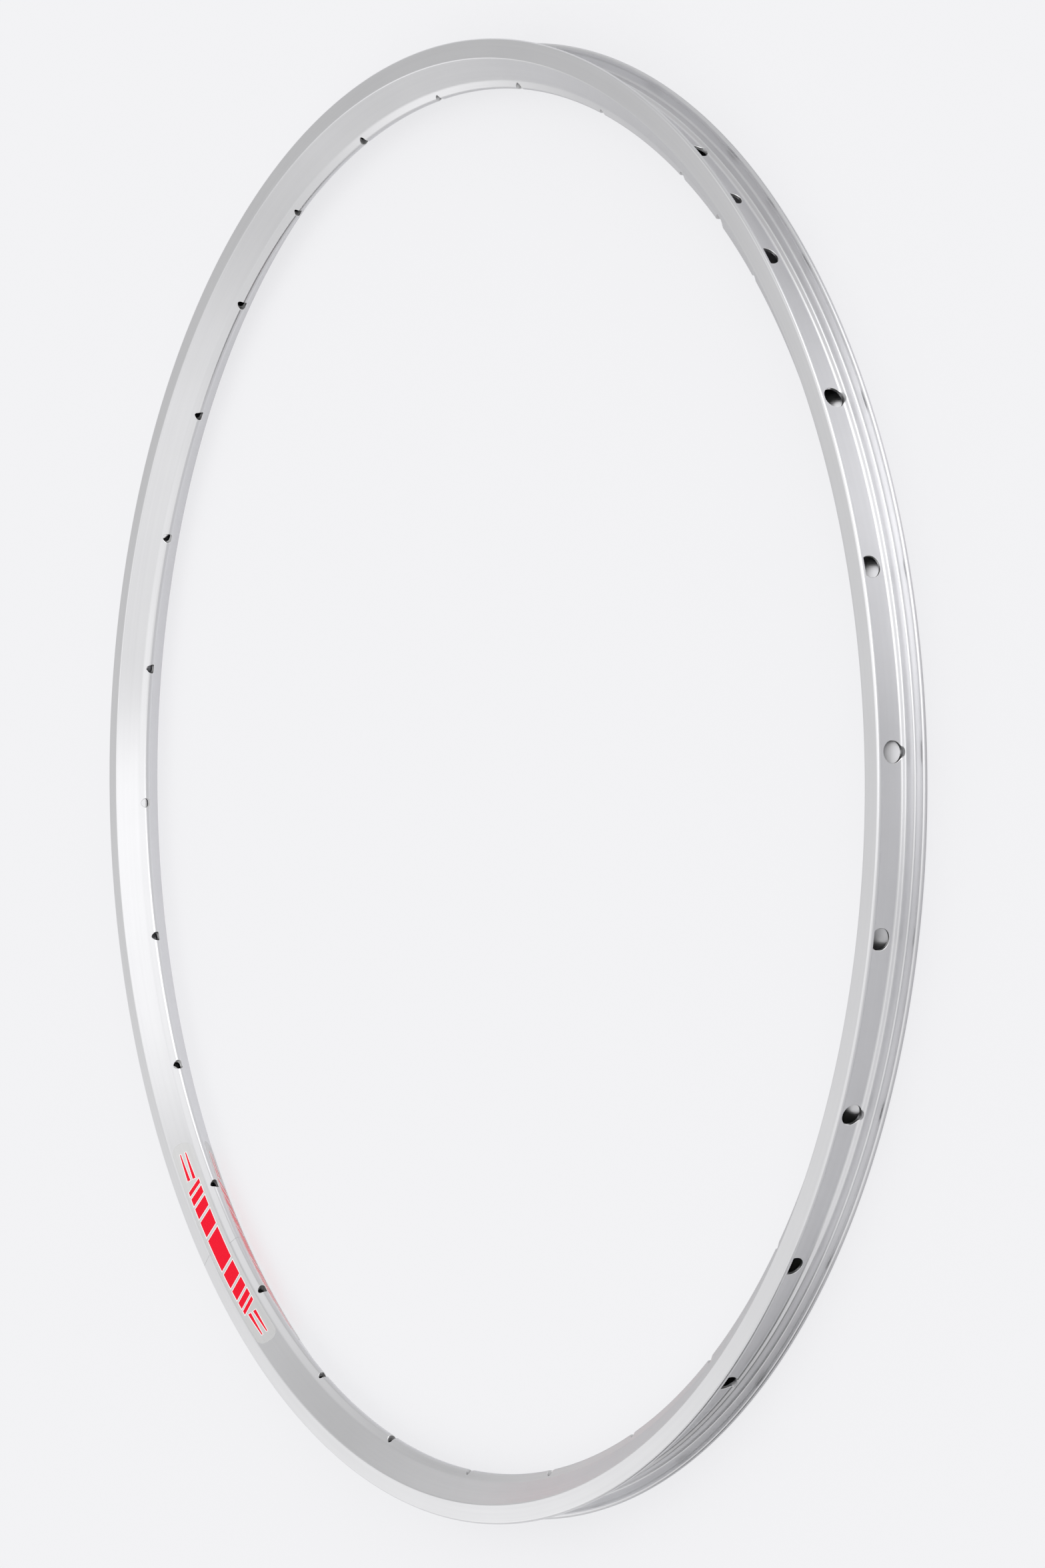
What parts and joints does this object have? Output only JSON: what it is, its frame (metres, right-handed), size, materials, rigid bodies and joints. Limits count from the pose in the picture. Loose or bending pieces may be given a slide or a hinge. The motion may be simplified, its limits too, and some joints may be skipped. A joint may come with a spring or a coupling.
{
  "type": "bicycle rim",
  "caption": "Hollow aluminium clincher rim with hooked flanges, flat brake tracks, V-shaped side walls, leaning spoke holes and clear red-printed labels.",
  "frame": {"origin": "centre of the wheel, on its axis and on the rim's mid-plane", "axes": "+Z along the wheel's axis, up, with the rim lying flat; +X through the valve hole; the seam is on -X"},
  "size_m": [0.634, 0.634, 0.023],
  "materials": {
    "anodised_aluminium": "satin silver anodised, drawn lines along the hoop",
    "sleeve_aluminium": "plain extruded",
    "label_film": "thin clear film with red print"
  },
  "bodies": {
    "root": {"rim_hoop": "anodised_aluminium", "joint_sleeve": "sleeve_aluminium", "label_upper": "label_film", "label_lower": "label_film"}
  },
  "joints": []
}
